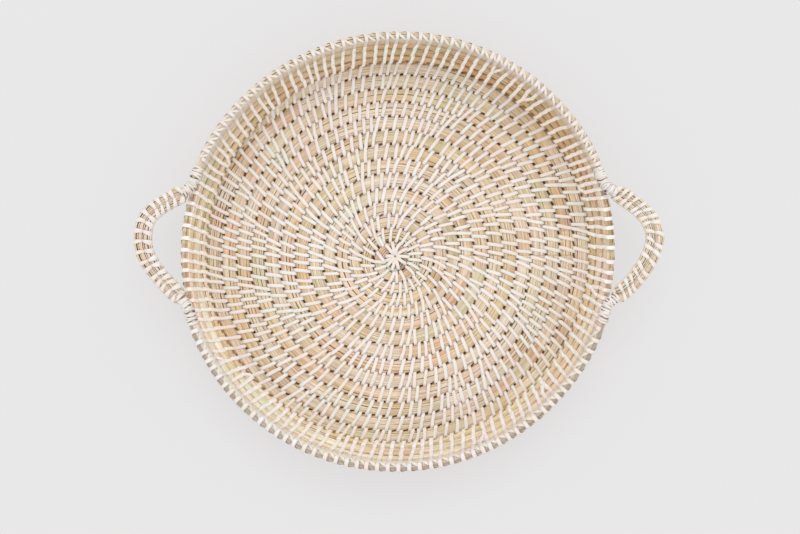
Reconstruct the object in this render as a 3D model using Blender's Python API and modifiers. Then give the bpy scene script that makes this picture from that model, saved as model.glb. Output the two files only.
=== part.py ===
"""Round coiled seagrass serving tray with two stitched loop handles.

The base is one long spiral bundle of seagrass, the wall is the same bundle
stacked in leaning rows, the rim row stops at each side and two thinner coils
carry on from it as a loop handle.  Flat white strip binds the handle coils in
a figure of eight and lashes each handle end to the rim.

Units: metres, +Z up, origin under the middle of the tray on the ground plane,
handles on the X axis.
"""
import bpy
import bmesh
import math
from mathutils import Vector

MM = 0.001
TAU = 2.0 * math.pi

# ------------------------------------------------------------------ dimensions
GAP = 0.30 * MM                 # clearance between touching pieces

# base spiral
KNOT_R = 8.0 * MM               # folded start of the bundle
PITCH_INNER = 12.54 * MM        # row spacing over the first turns
PITCH_OUTER = 14.23 * MM        # row spacing over the rest of the base
TURNS_INNER = 5.0               # number of turns at the inner spacing
SPIRAL_START = 2.0 * MM         # boundary radius at the zero of the spiral
COIL_H = 9.0 * MM               # thickness of a full width base row
BASE_R = 190.3 * MM             # base radius, where the wall starts
FIRST_TURN = 0.80               # spiral position of the tapered start
LAST_TURN = 14.43               # spiral position of the tapered end
SPIRAL_C = Vector((-3.6 * MM, -4.0 * MM, 0.0))    # centre of the outer turns
START_C = Vector((-5.0 * MM, -12.1 * MM, 0.0))    # limit centre of the first turns
CENTRE_DRIFT = 25.0 * MM        # radius over which the centre settles
SEG_IN, SEG_OUT = 24, 48        # stations per turn
SEG_SWITCH_TURN = 6             # turn from which the finer count is used

# wall rows: centre radius, centre height, lean from vertical (degrees)
WALL_ROWS = ((195.6 * MM, 11.5 * MM, 21.0),
             (200.8 * MM, 24.8 * MM, 20.0),
             (205.4 * MM, 38.3 * MM, 17.0))
RIM_R, RIM_Z, RIM_LEAN = 208.2 * MM, 52.3 * MM, 12.0
ROW_HALF_L = 6.85 * MM          # half of a wall row, up the wall
ROW_HALF_T = 4.50 * MM          # half of a wall row, through the wall
SEG_WALL = 48
ROW_SEAM = (100.0, 112.0, 124.0)     # where each wall row starts (degrees)

# rim row: two arcs between the handle ends (degrees) with tapered ends
RIM_ARCS = {"rim_coil_back": (19.0, 160.65), "rim_coil_front": (196.1, 344.2)}
RIM_TAPER = 7.0                 # degrees over which an end narrows
RIM_END_SCALE = 0.70
RIM_END_RISE = 2.2 * MM

# handles: middle line between the two coils, from the back end to the front end
HANDLE_LEFT = ((-196.9, 67.8, 54.4), (-200.9, 61.4, 55.0), (-208.6, 55.0, 56.4),
               (-220.4, 48.4, 58.6), (-232.9, 40.4, 61.0), (-241.9, 30.6, 63.0),
               (-245.4, 18.5, 64.0), (-245.4, 6.5, 64.0), (-242.2, -5.4, 63.4),
               (-234.4, -17.6, 61.6), (-224.4, -29.0, 59.4), (-213.8, -40.0, 57.2),
               (-204.9, -49.4, 55.6), (-200.4, -56.4, 54.6))
HANDLE_RIGHT = ((197.3, 66.4, 54.4), (201.9, 60.9, 55.0), (210.4, 55.6, 56.4),
                (220.8, 49.0, 58.6), (231.6, 40.6, 61.0), (241.2, 30.0, 63.0),
                (245.9, 18.0, 64.0), (245.9, 7.0, 64.0), (241.8, -5.4, 63.4),
                (235.0, -17.6, 61.6), (226.2, -29.4, 59.4), (215.6, -40.0, 57.2),
                (205.6, -48.4, 55.6), (200.9, -55.2, 54.6))
HANDLE_COIL_R = 4.20 * MM       # radius of one handle coil, across its flats
HANDLE_HALF = 5.05 * MM         # middle line to coil centre
HANDLE_END_SCALE = 0.66         # both shrink to this at the handle ends
HANDLE_END_PLAIN = 9.5 * MM    # length held at the end size
HANDLE_END_LEN = 13.0 * MM      # length over which they grow to full size
HANDLE_END_TWIST = 82.0         # the pair stands on edge at the ends (degrees)
HANDLE_STATIONS = 36
HANDLE_SIDES = 8

# white strip
STRIP_T = 0.55 * MM             # thickness
STRIP_W = 3.2 * MM              # width
BIND_STEP = 9.3 * MM            # figure of eight spacing along a handle
BIND_INSET = 24.5 * MM          # length left at each handle end
LASH_TURNS = 5
LASH_PITCH = 3.6 * MM
LASH_W = 2.3 * MM
LASH_HALF_UP = 7.4 * MM
LASH_HALF_SIDE = 5.3 * MM

GRASS = ((0.58, 0.45, 0.26), (0.62, 0.49, 0.30), (0.55, 0.43, 0.25), (0.60, 0.46, 0.27))
STRIP = (0.86, 0.83, 0.77)


# -------------------------------------------------------------------- helpers
def clear_scene():
    for ob in list(bpy.data.objects):
        bpy.data.objects.remove(ob, do_unlink=True)
    for block in (bpy.data.meshes, bpy.data.curves, bpy.data.materials):
        for item in list(block):
            block.remove(item)


def material(name, colour, rough, metal=0.0):
    mat = bpy.data.materials.new(name)
    mat.use_nodes = True
    bsdf = mat.node_tree.nodes["Principled BSDF"]
    bsdf.inputs["Base Color"].default_value = (*colour, 1.0)
    bsdf.inputs["Roughness"].default_value = rough
    bsdf.inputs["Metallic"].default_value = metal
    mat.diffuse_color = (*colour, 1.0)
    return mat


def grass(name, i):
    return material(name + "_grass", GRASS[i % len(GRASS)], 0.75)


def strip(name):
    return material(name + "_strip", STRIP, 0.45)


def octagon(a, b):
    """Flattened oval section with level top, bottom and side flats."""
    k = math.tan(math.radians(22.5))
    return [(a, k * b), (k * a, b), (-k * a, b), (-a, k * b),
            (-a, -k * b), (-k * a, -b), (k * a, -b), (a, -k * b)]


def hexagon(a, b, flat):
    return [(a, 0.0), (flat, b), (-flat, b), (-a, 0.0), (-flat, -b), (flat, -b)]


def profile_curve(pts):
    cu = bpy.data.curves.new("section", "CURVE")
    cu.dimensions = "2D"
    cu.fill_mode = "NONE"
    sp = cu.splines.new("POLY")
    sp.points.add(len(pts) - 1)
    for p, (x, y) in zip(sp.points, pts):
        p.co = (x, y, 0.0, 1.0)
    sp.use_cyclic_u = True
    return bpy.data.objects.new("section", cu)


def finish_mesh(me, name, mat, coll):
    bm = bmesh.new()
    bm.from_mesh(me)
    bmesh.ops.remove_doubles(bm, verts=bm.verts, dist=1e-7)
    bmesh.ops.recalc_face_normals(bm, faces=bm.faces)
    for f in bm.faces:
        f.smooth = len(f.verts) == 4
    bm.to_mesh(me)
    bm.free()
    me.name = name
    me.materials.clear()
    me.materials.append(mat)
    ob = bpy.data.objects.new(name, me)
    coll.objects.link(ob)
    return ob


def sweep(name, stations, section, mat, coll):
    """Sweep a closed section along stations of (point, scale, tilt)."""
    prof = profile_curve(section)
    bpy.context.scene.collection.objects.link(prof)
    cu = bpy.data.curves.new(name + "_path", "CURVE")
    cu.dimensions = "3D"
    cu.twist_mode = "Z_UP"
    cu.bevel_mode = "OBJECT"
    cu.bevel_object = prof
    cu.use_fill_caps = True
    sp = cu.splines.new("POLY")
    sp.points.add(len(stations) - 1)
    for p, (co, s, tilt) in zip(sp.points, stations):
        p.co = (co.x, co.y, co.z, 1.0)
        p.radius = s
        p.tilt = tilt
    path = bpy.data.objects.new(name + "_path", cu)
    bpy.context.scene.collection.objects.link(path)
    bpy.context.view_layer.update()
    dg = bpy.context.evaluated_depsgraph_get()
    me = bpy.data.meshes.new_from_object(path.evaluated_get(dg))
    bpy.data.objects.remove(path, do_unlink=True)
    bpy.data.objects.remove(prof, do_unlink=True)
    bpy.data.curves.remove(cu)
    return finish_mesh(me, name, mat, coll)


def ribbon(name, centre, across, outward, width, thick, mat, coll):
    """Flat strip wound along a path: a rectangle laid out at every station."""
    bm = bmesh.new()
    rings = []
    for c, w, n in zip(centre, across, outward):
        hw, ht = w * (width / 2), n * (thick / 2)
        rings.append([bm.verts.new(c + hw + ht), bm.verts.new(c - hw + ht),
                      bm.verts.new(c - hw - ht), bm.verts.new(c + hw - ht)])
    for a, b in zip(rings, rings[1:]):
        for i in range(4):
            j = (i + 1) % 4
            bm.faces.new((a[i], a[j], b[j], b[i]))
    bm.faces.new(rings[0][::-1])
    bm.faces.new(rings[-1])
    me = bpy.data.meshes.new(name)
    bm.to_mesh(me)
    bm.free()
    ob = finish_mesh(me, name, mat, coll)
    for poly in ob.data.polygons:
        poly.use_smooth = False
    return ob


# ---------------------------------------------------------------- base spiral
def boundary(turn):
    if turn <= TURNS_INNER:
        return SPIRAL_START + PITCH_INNER * turn
    return SPIRAL_START + PITCH_INNER * TURNS_INNER + PITCH_OUTER * (turn - TURNS_INNER)


def row_centre(radius):
    return SPIRAL_C + (START_C - SPIRAL_C) * math.exp(-radius / CENTRE_DRIFT)


def row_point(radius, angle):
    return row_centre(radius) + Vector((math.cos(angle), math.sin(angle), 0.0)) * radius


def base_station(turn):
    """Middle point, across direction and width of the bundle along the spiral."""
    ang = TAU * turn
    inner = row_point(max(boundary(turn - 1.0), KNOT_R), ang)
    outer = row_point(boundary(turn), ang)
    if outer.length > BASE_R:
        d = (outer - inner).normalized()
        b = inner.dot(d)
        outer = inner + d * (-b + math.sqrt(b * b - inner.length_squared + BASE_R ** 2))
    return (inner + outer) / 2, (outer - inner).normalized(), (outer - inner).length


def bundle_section(mid, across, width):
    """Flattened six sided section standing on the ground plane."""
    a = (width - GAP) / 2
    h = COIL_H * min(1.0, (width + 1.0 * MM) / (10.0 * MM))
    f = a * 0.62
    return [mid + across * x + Vector((0.0, 0.0, z)) for x, z in
            ((a, h / 2), (f, h), (-f, h), (-a, h / 2), (-f, 0.0), (f, 0.0))]


def base_turn(name, t0, t1, seg, index, coll):
    """One turn of the bundle, lofted because its width changes all the way along."""
    ts = [t0 + GAP / 2 / boundary(t0) / TAU]
    k = math.ceil(ts[0] * seg + 0.25)
    while k / seg < t1 - 0.25 / seg:
        ts.append(k / seg)
        k += 1
    ts.append(t1 - GAP / 2 / boundary(t1) / TAU)
    bm = bmesh.new()
    rings = []
    for t in ts:
        mid, across, width = base_station(t)
        rings.append([bm.verts.new(p) for p in bundle_section(mid, across, width)])
    for a, b in zip(rings, rings[1:]):
        for i in range(6):
            j = (i + 1) % 6
            bm.faces.new((a[i], a[j], b[j], b[i]))
    bm.faces.new(rings[0][::-1])
    bm.faces.new(rings[-1])
    me = bpy.data.meshes.new(name)
    bm.to_mesh(me)
    bm.free()
    return finish_mesh(me, name, grass(name, index), coll)


def centre_knot(coll):
    """Folded start of the bundle: a small turned button, made as a screw profile."""
    r, h = KNOT_R - GAP, 7.6 * MM
    prof = [(0.0, 0.0), (r - 1.6 * MM, 0.0), (r, 2.0 * MM), (r, h - 2.4 * MM),
            (r - 2.4 * MM, h), (0.0, h)]
    me = bpy.data.meshes.new("knot")
    me.from_pydata([(x, 0.0, z) for x, z in prof], [(i, i + 1) for i in range(len(prof) - 1)], [])
    ob = bpy.data.objects.new("knot", me)
    bpy.context.scene.collection.objects.link(ob)
    mod = ob.modifiers.new("turn", "SCREW")
    mod.axis = "Z"
    mod.steps = SEG_IN
    mod.render_steps = SEG_IN
    mod.use_merge_vertices = True
    mod.merge_threshold = 0.00001
    bpy.context.view_layer.update()
    dg = bpy.context.evaluated_depsgraph_get()
    out = bpy.data.meshes.new_from_object(ob.evaluated_get(dg))
    bpy.data.objects.remove(ob, do_unlink=True)
    for v in out.vertices:
        v.co += row_centre(KNOT_R)
    return finish_mesh(out, "base_centre_knot", grass("base_centre_knot", 2), coll)


# ----------------------------------------------------------------- wall and rim
def ring_point(r, z, deg):
    a = math.radians(deg)
    return Vector((r * math.cos(a), r * math.sin(a), z))


def wall_row(name, row, seam, index, coll):
    r, z, lean = row
    step = 360.0 / SEG_WALL
    eps = math.degrees(1.5 * GAP / r)
    degs = [seam + eps]
    k = math.ceil((seam + 0.3 * step) / step)
    while k * step < seam + 360.0 - 0.3 * step:
        degs.append(k * step)
        k += 1
    degs.append(seam + 360.0 - eps)
    st = [(ring_point(r, z, d), 1.0, math.radians(lean)) for d in degs]
    return sweep(name, st, octagon(ROW_HALF_T, ROW_HALF_L), grass(name, index), coll)


def rim_arc(name, a0, a1, index, coll):
    step = 360.0 / SEG_WALL
    degs = [a0]
    k = math.ceil((a0 + 0.3 * step) / step)
    while k * step < a1 - 0.3 * step:
        degs.append(k * step)
        k += 1
    degs.append(a1)
    st = []
    for d in degs:
        e = min(1.0, min(d - a0, a1 - d) / RIM_TAPER)
        e = e * e * (3 - 2 * e)
        s = RIM_END_SCALE + (1 - RIM_END_SCALE) * e
        st.append((ring_point(RIM_R, RIM_Z + RIM_END_RISE * (1 - e), d), s,
                   math.radians(RIM_LEAN)))
    return sweep(name, st, octagon(ROW_HALF_T, ROW_HALF_L), grass(name, index), coll)


# -------------------------------------------------------------------- handles
def catmull(pts, n):
    """Evenly spaced points on a smooth curve through pts."""
    ext = [pts[0] * 2 - pts[1]] + pts + [pts[-1] * 2 - pts[-2]]
    dense = []
    for i in range(1, len(ext) - 2):
        p0, p1, p2, p3 = ext[i - 1], ext[i], ext[i + 1], ext[i + 2]
        for j in range(16):
            t = j / 16
            dense.append(0.5 * ((2 * p1) + (p2 - p0) * t + (2 * p0 - 5 * p1 + 4 * p2 - p3) * t * t
                                + (3 * p1 - p0 - 3 * p2 + p3) * t ** 3))
    dense.append(ext[-2].copy())
    acc = [0.0]
    for a, b in zip(dense, dense[1:]):
        acc.append(acc[-1] + (b - a).length)
    out, k = [], 0
    for i in range(n):
        s = acc[-1] * i / (n - 1)
        while k < len(acc) - 2 and acc[k + 1] < s:
            k += 1
        f = (s - acc[k]) / max(acc[k + 1] - acc[k], 1e-12)
        out.append(dense[k].lerp(dense[k + 1], f))
    return out, acc[-1]


class Handle:
    """Middle line of a handle with the side by side coil frame along it."""

    def __init__(self, key, side):
        self.pts, self.length = catmull([Vector(p) * MM for p in key], 241)
        self.side = side

    def frame(self, s):
        f = min(max(s / self.length, 0.0), 1.0) * (len(self.pts) - 1)
        i = min(int(f), len(self.pts) - 2)
        c = self.pts[i].lerp(self.pts[i + 1], f - i)
        a, b = self.pts[max(i - 3, 0)], self.pts[min(i + 4, len(self.pts) - 1)]
        t = (b - a).normalized()
        h = Vector((t.y, -t.x, 0.0)).normalized()
        if h.x * self.side < 0 and abs(h.x) > 0.05 or h.dot(c.xy.to_3d()) < 0:
            h = -h
        up = t.cross(h)
        if up.z < 0:
            up = -up
        e = min(1.0, max(0.0, min(s, self.length - s) - HANDLE_END_PLAIN) / HANDLE_END_LEN)
        e = e * e * (3 - 2 * e)
        k = HANDLE_END_SCALE + (1 - HANDLE_END_SCALE) * e
        w = math.radians(HANDLE_END_TWIST) * (1 - e)
        d = h * math.cos(w) + up * math.sin(w)
        n = up * math.cos(w) - h * math.sin(w)
        return c, t, d, n, k, w


def handle_coil(name, hd, sign, index, coll):
    st = []
    for i in range(HANDLE_STATIONS):
        c, t, d, n, k, w = hd.frame(hd.length * i / (HANDLE_STATIONS - 1))
        st.append((c + d * (sign * HANDLE_HALF * k), k, 0.0))
    r = HANDLE_COIL_R / math.cos(math.pi / HANDLE_SIDES)
    sec = [(r * math.cos(TAU * (i + 0.5) / HANDLE_SIDES), r * math.sin(TAU * (i + 0.5) / HANDLE_SIDES))
           for i in range(HANDLE_SIDES)]
    return sweep(name, st, sec, grass(name, index), coll)


def set_across(centre, along, outward):
    """Width and thickness directions of a strip, square to its own path."""
    out = []
    for i in range(len(centre)):
        tan = (centre[min(i + 1, len(centre) - 1)] - centre[max(i - 1, 0)]).normalized()
        w = (along[i] - tan * along[i].dot(tan)).normalized()
        n = tan.cross(w).normalized()
        if n.dot(outward[i]) < 0:
            n = -n
        out.append((w, n))
    return [w for w, n in out], [n for w, n in out]


def handle_binding(name, hd, coll):
    """One strip in a figure of eight: over one coil, between, under and round the other."""
    corner = HANDLE_COIL_R / math.cos(math.pi / HANDLE_SIDES)
    angles = [180.0] + [157.5 - 45.0 * i for i in range(8)]
    per = 2 * len(angles)
    s0, s1 = BIND_INSET, hd.length - BIND_INSET
    units = int((s1 - s0) / BIND_STEP)
    step = (s1 - s0) / units
    centre, along, outward = [], [], []
    for i in range(units * per + 1):
        c, t, d, n, k, w = hd.frame(s0 + step * i / per)
        half, a = divmod(i % per, len(angles))
        side = 1.0 if half == 0 else -1.0
        rr = corner * k + 0.42 * MM + STRIP_T / 2
        if a == 0:
            centre.append(c.copy())
            outward.append(-d * side)
        else:
            ang = math.radians(angles[a])
            off = d * (side * math.cos(ang)) + n * math.sin(ang)
            centre.append(c + d * (side * HANDLE_HALF * k) + off * rr)
            outward.append(off)
        along.append(t)
    for i in range(1, len(outward)):
        if outward[i].dot(outward[i - 1]) < 0:
            outward[i] = -outward[i]
    across, thick = set_across(centre, along, outward)
    return ribbon(name, centre, across, thick, STRIP_W, STRIP_T, strip(name), coll)


def lashing(name, hd, at_start, rim_deg, direction, coll):
    """Strip wound round the joint of a rim row end and a handle end."""
    def rim_at(back):
        deg = rim_deg + direction * math.degrees(back / RIM_R)
        e = min(1.0, math.degrees(back / RIM_R) / RIM_TAPER)
        e = e * e * (3 - 2 * e)
        return ring_point(RIM_R, RIM_Z + RIM_END_RISE * (1 - e), deg)

    def handle_at(s):
        return hd.frame(s if at_start else hd.length - s)[0]

    pts, length = catmull([rim_at(7.0 * MM), rim_at(3.0 * MM), handle_at(1.0 * MM),
                           handle_at(5.5 * MM), handle_at(10.5 * MM)], 61)
    per = 10
    count = LASH_TURNS * per
    span = min(LASH_PITCH * LASH_TURNS, length)
    centre, along, outward = [], [], []
    for i in range(count + 1):
        f = i / count * span / length * 60
        k = min(int(f), 59)
        c = pts[k].lerp(pts[k + 1], f - k)
        t = (pts[min(k + 6, 60)] - pts[max(k - 5, 0)]).normalized()
        h = Vector((t.y, -t.x, 0.0)).normalized()
        up = t.cross(h)
        if up.z < 0:
            up = -up
        a = TAU * i / per
        centre.append(c + h * (LASH_HALF_SIDE * math.cos(a)) + up * (LASH_HALF_UP * math.sin(a)))
        outward.append((h * (math.cos(a) / LASH_HALF_SIDE)
                        + up * (math.sin(a) / LASH_HALF_UP)).normalized())
        along.append(t)
    across, thick = set_across(centre, along, outward)
    return ribbon(name, centre, across, thick, LASH_W, STRIP_T, strip(name), coll)


# --------------------------------------------------------------------- build
def build():
    clear_scene()
    coll = bpy.data.collections.new("seagrass_serving_tray")
    bpy.context.scene.collection.children.link(coll)

    centre_knot(coll)
    last = int(LAST_TURN)
    for i in range(1, last):
        t0 = FIRST_TURN if i == 1 else float(i)
        t1 = LAST_TURN if i == last - 1 else float(i + 1)
        seg = SEG_IN if i < SEG_SWITCH_TURN else SEG_OUT
        base_turn("base_coil_turn_%02d" % i, t0, t1, seg, i, coll)

    for i, row in enumerate(WALL_ROWS):
        wall_row("wall_coil_row_%d" % (i + 1), row, ROW_SEAM[i], i + 1, coll)
    for i, (name, (a0, a1)) in enumerate(RIM_ARCS.items()):
        rim_arc(name, a0, a1, i, coll)

    back0, back1 = RIM_ARCS["rim_coil_back"]
    front0, front1 = RIM_ARCS["rim_coil_front"]
    for side, key, sx, degs in (("left", HANDLE_LEFT, -1.0, (back1, front0)),
                                ("right", HANDLE_RIGHT, 1.0, (back0, front1))):
        hd = Handle(key, sx)
        handle_coil(side + "_handle_outer_coil", hd, 1.0, 1, coll)
        handle_coil(side + "_handle_inner_coil", hd, -1.0, 3, coll)
        handle_binding(side + "_handle_binding_strip", hd, coll)
        lashing(side + "_handle_back_lashing", hd, True, degs[0], sx, coll)
        lashing(side + "_handle_front_lashing", hd, False, degs[1], -sx, coll)

    # set the bounding box middle on the origin, underside on the ground plane
    lo = Vector((1e9, 1e9, 1e9))
    hi = -lo
    for ob in coll.objects:
        for v in ob.data.vertices:
            for k in range(3):
                lo[k] = min(lo[k], v.co[k])
                hi[k] = max(hi[k], v.co[k])
    shift = Vector((-(lo.x + hi.x) / 2, -(lo.y + hi.y) / 2, -lo.z))
    for ob in coll.objects:
        for v in ob.data.vertices:
            v.co += shift


build()
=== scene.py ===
"""Looks for the coiled seagrass serving tray.

Every bundle of the CAD model is rebuilt as separate seagrass strands round a dark core,
whose dark brown is painted shade for the gaps, and every stitch of the flat off-white strip
is real geometry that wraps the bundle.  Lengths are in metres unless a name ends in _MM.
"""
import math

import bpy
import numpy as np
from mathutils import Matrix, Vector


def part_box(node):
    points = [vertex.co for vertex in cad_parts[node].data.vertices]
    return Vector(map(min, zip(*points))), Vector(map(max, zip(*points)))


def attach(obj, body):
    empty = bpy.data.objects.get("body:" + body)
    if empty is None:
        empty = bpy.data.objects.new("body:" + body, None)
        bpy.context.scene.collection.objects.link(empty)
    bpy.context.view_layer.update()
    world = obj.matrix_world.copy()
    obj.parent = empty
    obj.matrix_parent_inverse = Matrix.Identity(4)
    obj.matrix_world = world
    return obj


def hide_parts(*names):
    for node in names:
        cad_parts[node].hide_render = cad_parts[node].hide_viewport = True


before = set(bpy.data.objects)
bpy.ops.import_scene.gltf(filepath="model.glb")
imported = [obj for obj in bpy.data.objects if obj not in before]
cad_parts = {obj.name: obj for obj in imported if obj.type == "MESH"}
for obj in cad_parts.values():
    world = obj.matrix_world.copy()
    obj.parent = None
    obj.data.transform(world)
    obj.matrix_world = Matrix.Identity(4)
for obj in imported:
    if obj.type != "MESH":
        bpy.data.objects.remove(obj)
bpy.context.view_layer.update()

MM = 0.001
TAU = 2.0 * math.pi
RNG = np.random.default_rng(4127)

# ------------------------------------------------- dimensions, as in the CAD
GAP = 0.30 * MM
KNOT_R = 8.0 * MM
PITCH_INNER, PITCH_OUTER, TURNS_INNER = 12.54 * MM, 14.23 * MM, 5.0
SPIRAL_START = 2.0 * MM
COIL_H = 9.0 * MM
BASE_R = 191.6 * MM         # a little over the CAD, so that base and wall meet
FIRST_TURN, LAST_TURN = 0.80, 14.43
SPIRAL_C = np.array([-3.6, -4.0]) * MM
START_C = np.array([-5.0, -12.1]) * MM
CENTRE_DRIFT = 25.0 * MM
WALL_ROWS = ((195.6 * MM, 11.5 * MM, 21.0), (200.8 * MM, 24.8 * MM, 20.0),
             (205.4 * MM, 38.3 * MM, 17.0))
RIM_R, RIM_Z, RIM_LEAN = 208.2 * MM, 52.3 * MM, 12.0
ROW_HALF_L, ROW_HALF_T = 6.85 * MM, 4.50 * MM
RIM_ARCS = {"back": (19.0, 160.65), "front": (196.1, 344.2)}
RIM_TAPER, RIM_END_SCALE, RIM_END_RISE = 7.0, 0.70, 2.2 * MM
HANDLE_LEFT = ((-196.9, 67.8, 54.4), (-200.9, 61.4, 55.0), (-208.6, 55.0, 56.4),
               (-220.4, 48.4, 58.6), (-232.9, 40.4, 61.0), (-241.9, 30.6, 63.0),
               (-245.4, 18.5, 64.0), (-245.4, 6.5, 64.0), (-242.2, -5.4, 63.4),
               (-234.4, -17.6, 61.6), (-224.4, -29.0, 59.4), (-213.8, -40.0, 57.2),
               (-204.9, -49.4, 55.6), (-200.4, -56.4, 54.6))
HANDLE_RIGHT = ((197.3, 66.4, 54.4), (201.9, 60.9, 55.0), (210.4, 55.6, 56.4),
                (220.8, 49.0, 58.6), (231.6, 40.6, 61.0), (241.2, 30.0, 63.0),
                (245.9, 18.0, 64.0), (245.9, 7.0, 64.0), (241.8, -5.4, 63.4),
                (235.0, -17.6, 61.6), (226.2, -29.4, 59.4), (215.6, -40.0, 57.2),
                (205.6, -48.4, 55.6), (200.9, -55.2, 54.6))
HANDLE_COIL_R, HANDLE_HALF = 4.45 * MM, 4.05 * MM
HANDLE_END_SCALE, HANDLE_END_PLAIN, HANDLE_END_LEN = 0.66, 9.5 * MM, 13.0 * MM
HANDLE_END_TWIST = 82.0

# the CAD model was centred on its own box, so the knot says by how much
_lo, _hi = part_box("base_centre_knot")


def row_centre(r):
    r = np.asarray(r, float)[..., None]
    return SPIRAL_C + (START_C - SPIRAL_C) * np.exp(-r / CENTRE_DRIFT)


SHIFT = np.array([(_lo.x + _hi.x) / 2, (_lo.y + _hi.y) / 2]) - row_centre(KNOT_R)
SHIFT = np.array([SHIFT[0], SHIFT[1], 0.0])


def hand_made(co):
    """The real tray is a millimetre or two out of round towards its edge."""
    x, y = co[:, 0] - SHIFT[0], co[:, 1] - SHIFT[1]
    r, a = np.hypot(x, y), np.arctan2(y, x)
    f = np.clip((r / MM - 110.0) / 85.0, 0.0, 1.0)
    f = f * f * (3 - 2 * f)
    d = (-0.5 + 1.3 * np.cos(2 * (a - math.radians(27.0))) + 0.9 * np.cos(a - math.radians(228.0))) * MM
    k = 1.0 + f * d / np.maximum(r, 1e-6)
    out = co.copy()
    g = np.clip((np.abs(x) / MM - 214.0) / 30.0, 0.0, 1.0)
    g = g * g * (3 - 2 * g) * np.where(x < 0, 2.0, -0.6) * MM
    out[:, 0], out[:, 1] = SHIFT[0] + x * k + g, SHIFT[1] + y * k
    return out


# ----------------------------------------------------------- smooth 1D noise
class Wave:
    """Smooth repeatable noise in -1..1 along a length, one curve per channel."""

    def __init__(self, channels, wavelength, total):
        n = max(int(math.ceil(total / wavelength)) + 4, 5)
        self.k = RNG.uniform(-1.0, 1.0, (channels, n))
        self.w = wavelength

    def __call__(self, ch, s):
        f = np.clip(np.asarray(s, float) / self.w, 0.0, self.k.shape[1] - 2.001)
        i = f.astype(int)
        u = f - i
        u = u * u * (3.0 - 2.0 * u)
        return self.k[ch, i] * (1.0 - u) + self.k[ch, i + 1] * u


def unit(v):
    return v / np.maximum(np.linalg.norm(v, axis=-1, keepdims=True), 1e-12)


# -------------------------------------------------------------- mesh builder
class Builder:
    """Collects tubes and ribbons, then writes them as one mesh with colours."""

    def __init__(self):
        self.v, self.f4, self.fn = [], [], []
        self.tint, self.flow = [], []
        self.n = 0

    def rings(self, pts, tint, flow, closed=False, caps=True):
        """pts (stations, sides, 3), tint (stations or 1, sides or 1, 3)."""
        a, k = pts.shape[:2]
        base = self.n
        self.v.append(pts.reshape(-1, 3))
        self.tint.append(np.broadcast_to(tint, (a, k, 3)).reshape(-1, 3))
        self.flow.append(np.broadcast_to(flow, (a, k, 3)).reshape(-1, 3))
        rows = a if closed else a - 1
        i = np.arange(rows)[:, None]
        j = np.arange(k)[None, :]
        i2, j2 = (i + 1) % a, (j + 1) % k
        q = np.stack(np.broadcast_arrays(i * k + j, i * k + j2, i2 * k + j2, i2 * k + j), -1)
        self.f4.append(q.reshape(-1, 4) + base)
        if caps and not closed:
            self.fn.append(np.arange(k)[::-1] + base)
            self.fn.append(np.arange(k) + base + (a - 1) * k)
        self.n += a * k

    def halves(self):
        """The same open tubes shared between two builders, for a piece with many faces."""
        first, second = Builder(), Builder()
        start = 0
        for i, v in enumerate(self.v):
            h = first if 2 * i < len(self.v) else second
            h.v.append(v)
            h.tint.append(self.tint[i])
            h.flow.append(self.flow[i])
            h.f4.append(self.f4[i] - start + h.n)
            h.fn += [f - start + h.n for f in self.fn[2 * i:2 * i + 2]]
            h.n += len(v)
            start += len(v)
        return first, second

    def piece(self, name, mat, slot, nodes):
        co = hand_made(np.concatenate(self.v) + SHIFT)
        quads = np.concatenate(self.f4)
        loops = [quads.reshape(-1)]
        sizes = [np.full(len(quads), 4)]
        for f in self.fn:
            loops.append(f)
            sizes.append(np.array([len(f)]))
        loops = np.concatenate(loops).astype(np.int32)
        sizes = np.concatenate(sizes)
        starts = np.concatenate([[0], np.cumsum(sizes)[:-1]]).astype(np.int32)
        me = bpy.data.meshes.new(name)
        me.vertices.add(len(co))
        me.vertices.foreach_set("co", co.astype(np.float32).ravel())
        me.loops.add(len(loops))
        me.loops.foreach_set("vertex_index", loops)
        me.polygons.add(len(sizes))
        me.polygons.foreach_set("loop_start", starts)
        me.update(calc_edges=True)
        me.validate()
        me.shade_smooth()
        t = np.concatenate(self.tint)
        t = np.concatenate([t, np.ones((len(t), 1))], 1).astype(np.float32)
        at = me.attributes.new("tint", "FLOAT_COLOR", "POINT")
        at.data.foreach_set("color", t.ravel())
        at = me.attributes.new("flow", "FLOAT_VECTOR", "POINT")
        at.data.foreach_set("vector", np.concatenate(self.flow).astype(np.float32).ravel())
        me.materials.append(mat)
        ob = bpy.data.objects.new(name, me)
        bpy.context.scene.collection.objects.link(ob)
        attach(ob, "root")
        if nodes:
            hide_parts(*nodes)
        STATS.append((name, len(sizes)))
        return ob


STATS = []


def wall_tone_and_back_shade(us):
    """The grass of the wall is browner and darker at the back and paler at the front: partly the grass's own
    tone, partly painted shade at the back, where the wall faces away from the light, and painted light at the
    front.
    """
    s, c = np.sin(TAU * us)[:, None], np.cos(TAU * us)[:, None]
    c2 = c * c - s * s
    return np.clip(np.array([0.90, 0.97, 1.06]) - np.array([0.13, 0.22, 0.34]) * s
                   - np.array([0.06, 0.11, 0.17]) * c + np.array([0.04, 0.045, 0.08]) * c2, 0.5, 1.42)


# ------------------------------------------------------------------- colours
def lin(r, g, b):
    c = np.array([r, g, b], float) / 255.0
    return np.where(c <= 0.04045, c / 12.92, ((c + 0.055) / 1.055) ** 2.4)


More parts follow.
